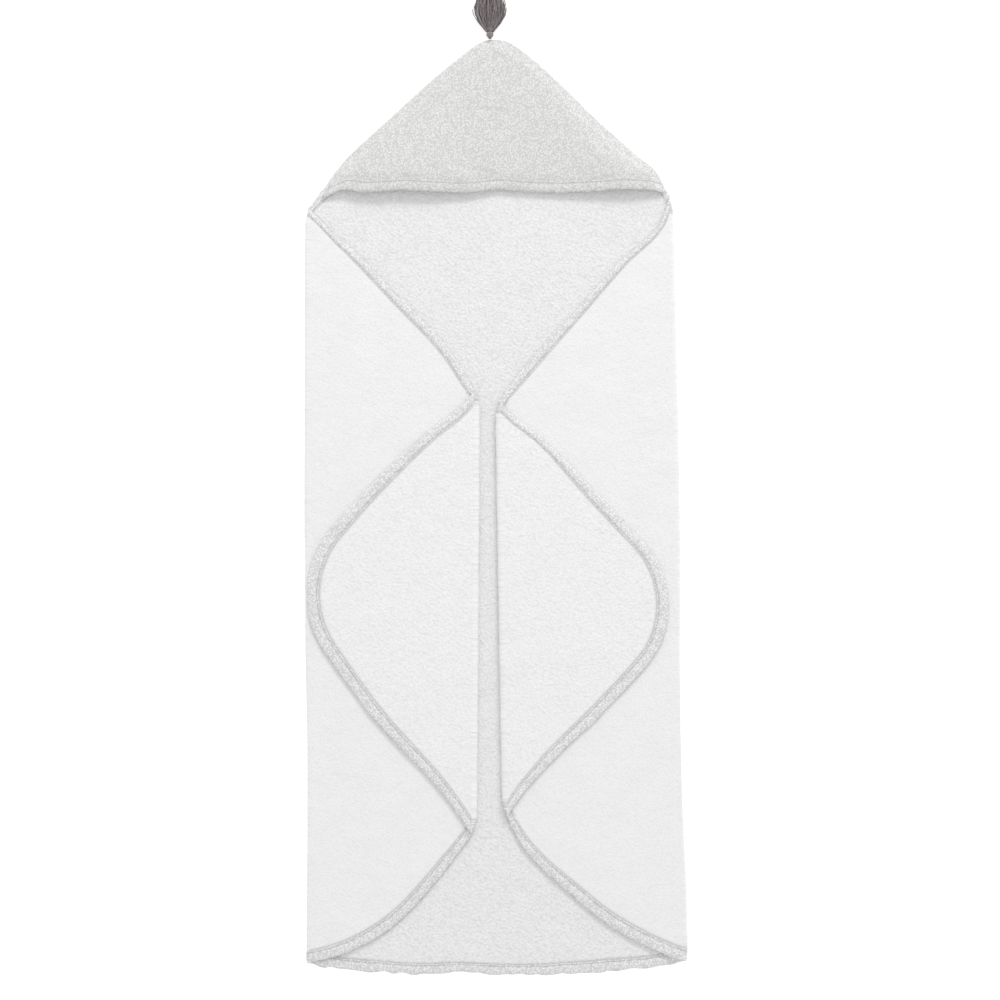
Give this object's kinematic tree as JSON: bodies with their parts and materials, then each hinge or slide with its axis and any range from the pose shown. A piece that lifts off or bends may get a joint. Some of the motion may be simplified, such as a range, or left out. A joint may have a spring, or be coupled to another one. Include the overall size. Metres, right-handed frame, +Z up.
{
  "type": "hooded baby towel",
  "caption": "Hooded terry towel for a baby, bound at its edge, with a printed cotton hood, a yarn tassel and sides that fold in and back out.",
  "frame": {"origin": "middle of the folded towel's outline, tassel included, on the surface that it lies on", "axes": "+Y from the hem to the point of the hood, +Z up out of the surface, +X across the towel"},
  "size_m": [0.3452, 0.9004, 0.0175],
  "materials": {
    "terry": "looped cotton terry, matt, close white pile",
    "printed_cotton": "thin woven cotton with a small all-over speckled print",
    "binding": "folded woven cotton strip in the same print, slightly puckered along its stitching",
    "tassel_yarn": "twisted matt yarn, warm dark grey"
  },
  "bodies": {
    "towel_back": {"back_panel": "terry", "hem_binding": "binding", "hood_lining": "terry", "hood_print_panel": "printed_cotton", "hood_edge_binding": "binding"},
    "left_inner": {"left_inner_flap": "terry", "left_inner_upper_binding": "binding", "left_inner_lower_binding": "binding"},
    "left_outer": {"left_outer_flap": "terry", "left_corner_binding": "binding"},
    "right_inner": {"right_inner_flap": "terry", "right_inner_upper_binding": "binding", "right_inner_lower_binding": "binding"},
    "right_outer": {"right_outer_flap": "terry", "right_corner_binding": "binding"},
    "loop": {"tassel_loop": "tassel_yarn"},
    "tassel": {"tassel_wrap": "tassel_yarn", "tassel_skirt": "tassel_yarn"}
  },
  "joints": [
    {"name": "left_outer_fold", "type": "hinge", "parent": "towel_back", "child": "left_inner", "pos_m": [-0.17117, 0.00035, 0.00325], "axis": [0, -1, 0], "range_deg": [0, 179.9]},
    {"name": "left_centre_fold", "type": "hinge", "parent": "left_inner", "child": "left_outer", "pos_m": [-0.01967, 0.00035, 0.00675], "axis": [0.0066, 1, 0], "range_deg": [0, 179.9]},
    {"name": "right_outer_fold", "type": "hinge", "parent": "towel_back", "child": "right_inner", "pos_m": [0.16413, 0.00035, 0.00325], "axis": [-0.0197, 0.9998, 0], "range_deg": [0, 179.9]},
    {"name": "right_centre_fold", "type": "hinge", "parent": "right_inner", "child": "right_outer", "pos_m": [0.00555, -0.00591, 0.00675], "axis": [0.0161, -0.9999, 0], "range_deg": [0, 179.9]},
    {"name": "tassel_swing", "type": "hinge", "parent": "towel_back", "child": "loop", "pos_m": [-0.00527, 0.40518, 0.0056], "axis": [0, 0, 1], "range_deg": [-55, 70]},
    {"name": "tassel_lift", "type": "hinge", "parent": "loop", "child": "tassel", "pos_m": [-0.00527, 0.40608, 0.0056], "axis": [1, 0, 0], "range_deg": [0, 90]}
  ],
  "couplings": [
    {"joint": "left_centre_fold", "follows": "left_outer_fold", "ratio": 1},
    {"joint": "right_centre_fold", "follows": "right_outer_fold", "ratio": 1}
  ]
}
